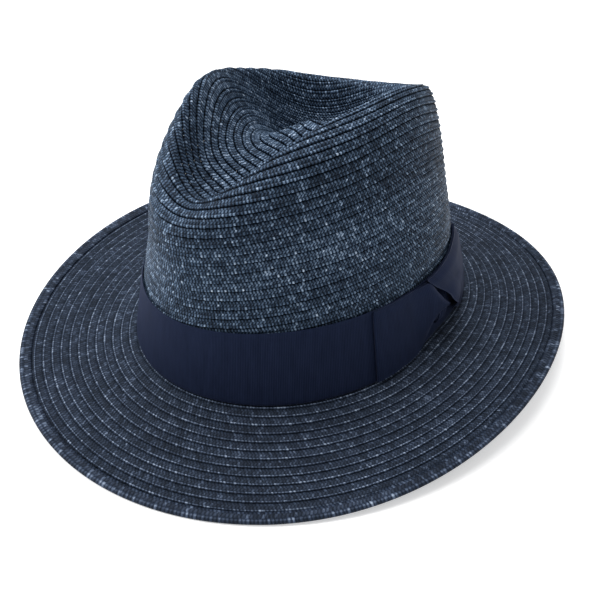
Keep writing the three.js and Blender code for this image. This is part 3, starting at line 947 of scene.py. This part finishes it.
def grid(n, m):
    a, b = np.meshgrid(np.linspace(0, 1, n), np.linspace(0, 1, m), indexing="ij")
    return a, b


def folded_loop(name, T_of, U_of, H_of, n=60, m=34, thick=0.55):
    """A ribbon sheet over the grids of angle, height up and height off that T_of, U_of and H_of give."""
    a, b = grid(n, m)
    T, U, H = T_of(a, b), U_of(a, b), H_of(a, b)
    return ribbon_patch(name, T, U, H, thick)


def front_loop():
    """The ribbon goes back under itself at a fold on the front end, and its upper layer tapers to the pinch."""
    a, b = grid(90, 44)
    fold, end = deg(75.2), deg(104.8)
    s = a * 2 - 1  # -1 to 0 under layer, 0 to 1 upper layer
    k = np.clip(np.abs(s), 0, 1)
    t = fold + (end - fold) * k
    d = np.degrees(t)
    top_edge = 40.9 - 17.2 * smoothstep(d, 97.5, 105.6) ** 1.15
    low_edge = 0.9 + 20.0 * smoothstep(d, 90.0, 105.4) ** 1.5
    u = low_edge + (top_edge - low_edge) * b
    mid = 1 - (2 * b - 1) ** 2
    rise = smoothstep(d, 90.0, 104.5)
    lift = 0.62 + 0.35 * mid + 6.2 * rise * smoothstep(b, 0.0, 0.42) * (0.75 + 0.25 * mid)
    lift = lift + 0.35 * np.sin(b * 10.0 + 0.6) * rise
    lift = lift - 1.1 * smoothstep(b, 0.86, 1.0)
    under = 0.10 + 0.06 * mid + 1.6 * rise
    blend = smoothstep(s, -0.03, 0.03)
    H = BASE + 0.45 + under * (1 - blend) + lift * blend
    t = t - deg(0.2) * np.exp(-((s / 0.035) ** 2))
    return ribbon_patch("bow_front_ribbon", t, u, H, 0.42, uv=np.stack([s * 45.0, b * 40.0], -1))


def rear_loop():
    """The other end of the same ribbon: its upper layer comes over the pinch and widens to a fold at the back."""
    a, b = grid(100, 44)
    s = 1 - a * 2
    k = np.clip(np.abs(s), 0, 1)  # 0 at the fold, 1 at the pinch
    fold = deg(137.0)
    border = deg(98.9) + deg(6.6) * smoothstep(b, 1.0, 0.45) ** 0.9 + deg(5.0) * smoothstep(b, 0.45, 0.0)
    t = fold + (border - fold) * k
    d = np.degrees(t)
    top_edge = 41.9 + 0 * k
    low_edge = 0.9 + 13.0 * smoothstep(d, 124.0, 106.0) ** 1.2
    u = low_edge + (top_edge - low_edge) * b
    mid = 1 - (2 * b - 1) ** 2
    near = smoothstep(d, 126.0, 104.0)
    lift = 0.9 + 1.7 * mid + 0.9 * near
    lift = lift + 5.4 * np.exp(-(((d - 106.5) / 7.5) ** 2)) * np.exp(-(((u - 21.5) / 9.5) ** 2))
    lift = lift + 1.5 * np.exp(-(((d - 118.0) / 8.0) ** 2)) * mid
    lift = lift - 0.8 * np.exp(-(((u - 30.5 + 0.35 * (d - 112)) / 2.2) ** 2)) * smoothstep(d, 103, 109) * smoothstep(d, 121, 113)
    lift = lift - 2.0 * smoothstep(b, 0.84, 1.0)
    under = 0.10 + 0.06 * mid + 1.0 * near
    blend = smoothstep(s, -0.03, 0.03)
    H = BASE + 0.45 + under * (1 - blend) + (lift + 0.5 * near) * blend
    t = t + deg(0.2) * np.exp(-((s / 0.035) ** 2))
    return ribbon_patch("bow_rear_ribbon", t, u, H, 0.42, uv=np.stack([s * 45.0 + 3.0, b * 40.0], -1))


def knot():
    """A short turn of ribbon gathered round the pinch, under the loops' meeting edges."""
    n, m = 40, 18
    a, b = grid(n, m)
    g = 2 * a - 1
    u = 21.5 + 9.5 * g
    t = deg(103.6) + deg(2.6) * (2 * b - 1) + deg(0.4) * np.sin(g * 2.0)
    H = BASE + 0.6 + 5.0 * np.sqrt(np.clip(1 - 0.93 * g * g, 0, 1)) - 0.5 * (2 * b - 1) ** 2 + 0.22 * np.cos(b * TAU * 3)
    return ribbon_patch("bow_centre_wrap", t, u, H, 0.5, uv=np.stack([g * 14.0, b * 9.0], -1))


for o, cad, flat in ((front_loop(), "bow_front_loop", (0.040, 0.092)), (rear_loop(), "bow_rear_loop", (0.040, 0.115)), (knot(), "bow_knot", (0.010, 0.022))):
    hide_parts(cad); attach(o, "root")

# ---------------------------------------------------------------- inside: sweatband, tape, label
FACE = -(BRAID + GAP + 0.1)


def sweat():
    n = 480
    t = np.arange(n) * TAU / n
    f = np.array([0, 0.015, 0.04, 0.075, 0.1, 0.2, 0.35, 0.5, 0.65, 0.8, 0.9, 0.96, 0.985, 1.0])
    tt, ff = np.repeat(t[:, None], len(f), 1), np.repeat(f[None], n, 0)
    up = 0.4 + ff * 32.0 + 0.25 * np.sin(tt * 9) * ff
    edge = np.minimum(np.minimum(ff, 1 - ff) / 0.04, 1)
    groove = 0.18 * np.exp(-(((ff - 0.075) / 0.012) ** 2))
    H = FACE - 0.7 * (0.45 + 0.55 * edge) + groove - 0.12 * (smooth_noise(t / TAU * 17, 4)[:, None] - 0.5) * ff
    top = on_crown(tt, up, H)
    under = on_crown(tt, up, np.full_like(H, FACE))[:, ::-1][:, 1:-1]
    V = place(np.concatenate([top, under], 1))
    ux = t / TAU * 540
    uv = np.concatenate([np.stack([np.repeat(ux[:, None], len(f), 1), ff * 32], -1), np.stack([np.repeat(ux[:, None], len(f) - 2, 1), ff[:, ::-1][:, 1:-1] * 32], -1)], 1).reshape(-1, 2)
    flat, faces = sweep(V, True)
    return make_object("sweatband_tape", flat, faces[0], MAT_SWEAT, uv)


def stitches(name, path, length, gap, radius, material):
    """A row of short raised stitches along a path: path(s) gives positions in metres and outward normals, for s in mm."""
    verts, quads = [], []
    s, base = 0.0, 0
    rows = 5
    while s + length < path.total:
        ss = s + np.linspace(0, length, rows)
        C, Nn = path(ss)
        T = np.gradient(C, axis=0)
        T /= np.linalg.norm(T, axis=1, keepdims=True)
        B = np.cross(T, Nn)
        arc = np.sin(np.linspace(0.12, math.pi - 0.12, rows))
        for k in range(rows):
            r = radius * (0.35 + 0.65 * arc[k])
            for ang in (0, 1.2566, 2.5133, 3.7699, 5.0265):
                verts.append(C[k] + Nn[k] * (r * math.sin(ang) + radius * 0.7 * arc[k]) + B[k] * r * math.cos(ang))
        for k in range(rows - 1):
            for j in range(5):
                quads.append((base + k * 5 + j, base + k * 5 + (j + 1) % 5, base + (k + 1) * 5 + (j + 1) % 5, base + (k + 1) * 5 + j))
        caps = [(base, base + 1, base + 2, base + 3), (base + (rows - 1) * 5 + 3, base + (rows - 1) * 5 + 2, base + (rows - 1) * 5 + 1, base + (rows - 1) * 5)]
        quads += caps
        tri = [(base, base + 3, base + 4), (base + (rows - 1) * 5, base + (rows - 1) * 5 + 4, base + (rows - 1) * 5 + 3)]
        stitches.tri += tri
        base += rows * 5
        s += length + gap
    V = np.array(verts)
    Q = np.array(quads)
    Tt = np.array(stitches.tri)
    stitches.tri = []
    if signed_volume(V[:rows * 5] - V[:rows * 5].mean(0), Q[: (rows - 1) * 5]) < 0:
        Q, Tt = Q[:, ::-1], Tt[:, ::-1]
    uv = np.stack([np.arange(len(V)) * 0.3, np.arange(len(V)) % 5 * 0.2], -1)
    return make_object(name, V, [Q, Tt], material, uv)


stitches.tri = []


class RingPath:
    def __init__(self, up, off, inward):
        t = np.arange(721) * TAU / 720
        X = on_crown(t, up + 0 * t, off + 0 * t)
        X2 = on_crown(t, up + 0 * t, off + 0 * t + (-1 if inward else 1))
        self.s = np.concatenate([[0], np.cumsum(np.linalg.norm(np.diff(X, axis=0), axis=1))])
        self.X, self.N = X, X2 - X
        self.total = self.s[-1]

    def __call__(self, ss):
        X = np.stack([np.interp(ss, self.s, self.X[:, k]) for k in range(3)], -1)
        N = np.stack([np.interp(ss, self.s, self.N[:, k]) for k in range(3)], -1) @ _M[:3, :3].T
        return place(X), N / np.linalg.norm(N, axis=1, keepdims=True)


sweatband = sweat()
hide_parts("sweatband"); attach(sweatband, "root")
o = stitches("sweatband_stitches", RingPath(0.4 + 0.075 * 32, FACE - 0.6, True), 3.0, 0.9, 0.00022, MAT_THREAD)
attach(o, "root")


def inner_patch(name, at, width, low, height, off, thick, material, n=30, m=30):
    a, b = grid(n, m)
    half = width / 2 / (P["HEAD"]["b"] * 0.98)
    T = at + half * (2 * a - 1)
    U = low + height * b
    edge = np.minimum(np.minimum(a, 1 - a), np.minimum(b, 1 - b))
    H = off - thick * 0.6 - thick * 0.4 * smoothstep(edge, 0, 0.05) - 0.10 * np.sin(a * 3 + b * 2)
    top = on_crown(T, U, H)
    under = on_crown(T, U, np.full_like(H, off))
    k = top.shape[0] * top.shape[1]
    idx = np.arange(k).reshape(top.shape[:2])
    q = lambda g: np.stack([g[:-1, :-1], g[1:, :-1], g[1:, 1:], g[:-1, 1:]], -1).reshape(-1, 4)
    rim = np.concatenate([idx[0, :], idx[1:, -1], idx[-1, -2::-1], idx[-2:0:-1, 0]])
    nxt = np.roll(rim, -1)
    quads = np.concatenate([q(idx), (q(idx) + k)[:, ::-1], np.stack([rim, nxt, nxt + k, rim + k], -1)[:, ::-1]])
    V = place(np.concatenate([top.reshape(-1, 3), under.reshape(-1, 3)]))
    if signed_volume(V - V.mean(0), quads) < 0:
        quads = quads[:, ::-1]
    uv = np.concatenate([np.stack([a * width, b * height], -1).reshape(-1, 2)] * 2)
    return make_object(name, V, quads, material, uv)


NEAR = FACE - 0.7 - GAP - 0.1
tape = inner_patch("sweatband_joint_tape", math.pi, 14, 3.2, 29, NEAR, 0.5, MAT_TAPE)
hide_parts("sweatband_seam_tape"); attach(tape, "root")
label = inner_patch("blank_tab", math.pi + 0.42, 26, 9, 14, NEAR, 0.4, MAT_LABEL)
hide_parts("size_label"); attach(label, "root")

# ---------------------------------------------------------------- floor, light, camera
me = bpy.data.meshes.new("studio_floor")
me.from_pydata([(-3, -3, 0), (3, -3, 0), (3, 3, 0), (-3, 3, 0)], [], [(0, 1, 2, 3)])
floor = bpy.data.objects.new("studio_floor", me)
bpy.context.scene.collection.objects.link(floor)
floor.location.z = -0.0004
m, nt, bsdf = new_material("pale_floor")
bsdf.inputs["Base Color"].default_value = (0.93, 0.93, 0.93, 1)
bsdf.inputs["Roughness"].default_value = 0.9
bsdf.inputs["Specular IOR Level"].default_value = 0.1
bsdf.inputs["Emission Color"].default_value = (1, 1, 1, 1)
bsdf.inputs["Emission Strength"].default_value = 0.45
me.materials.append(m)

world = bpy.data.worlds.new("studio")
bpy.context.scene.world = world
world.use_nodes = True
bg = world.node_tree.nodes["Background"]
bg.inputs["Color"].default_value = (1, 1, 1, 1)
bg.inputs["Strength"].default_value = 0.32


def area_light(name, where, target, size, power, colour=(1, 1, 1)):
    data = bpy.data.lights.new(name, "AREA")
    data.shape = "RECTANGLE"
    data.size, data.size_y = size
    data.energy = power
    data.color = colour
    ob = bpy.data.objects.new(name, data)
    bpy.context.scene.collection.objects.link(ob)
    ob.location = where
    ob.rotation_euler = (Vector(target) - Vector(where)).to_track_quat("-Z", "Y").to_euler()
    return ob


# camera: fitted to the hat before levelling, then turned with it
CAM = dict(phi=0.8378, el=0.5947, D=0.430219, roll=-0.0302, f=758.0965, yaw=-0.0031, pit=-0.0625)
back = Vector((math.sin(CAM["phi"]) * math.cos(CAM["el"]), -math.cos(CAM["phi"]) * math.cos(CAM["el"]), math.sin(CAM["el"])))
eye = back * CAM["D"] + Vector((0, 0, 0.04))
fwd = -back
right = fwd.cross(Vector((0, 0, 1))).normalized()
up = right.cross(fwd)
c, s = math.cos(CAM["yaw"]), math.sin(CAM["yaw"])
fwd, right = c * fwd + s * right, c * right - s * fwd
c, s = math.cos(CAM["pit"]), math.sin(CAM["pit"])
fwd, up = c * fwd + s * up, c * up - s * fwd
c, s = math.cos(CAM["roll"]), math.sin(CAM["roll"])
right, up = c * right + s * up, -s * right + c * up
turn = LEVELLING.to_3x3()
shift = Vector((_L["dx"], _L["dy"], _L["lift"])) * 0.001
eye = turn @ eye + shift
fwd, right, up = turn @ fwd, turn @ right, turn @ up
cam_data = bpy.data.cameras.new("camera")
cam_data.sensor_width = 36.0
cam_data.lens = CAM["f"] / 600 * 36.0
cam_data.clip_start = 0.01
camera = bpy.data.objects.new("camera", cam_data)
bpy.context.scene.collection.objects.link(camera)
camera.matrix_world = Matrix(((right.x, up.x, -fwd.x, eye.x), (right.y, up.y, -fwd.y, eye.y), (right.z, up.z, -fwd.z, eye.z), (0, 0, 0, 1)))
bpy.context.scene.camera = camera

side = Vector((right.x, right.y, 0)).normalized()
front = Vector((fwd.x, fwd.y, 0)).normalized()
mid = (0, 0, 0.07)
area_light('left', Vector(mid) - side * 0.95 + front * 0.05 + Vector((0, 0, 0.75)), mid, (0.8, 0.8), 10.0)
area_light('right', Vector(mid) + side * 0.95 + front * 0.35 + Vector((0, 0, 0.7)), mid, (0.7, 0.7), 1.8)
area_light('top', Vector(mid) + front * 0.3 - side * 0.1 + Vector((0, 0, 1.2)), mid, (0.7, 0.7), 10.0)
bpy.context.scene.view_settings.view_transform = "Standard"
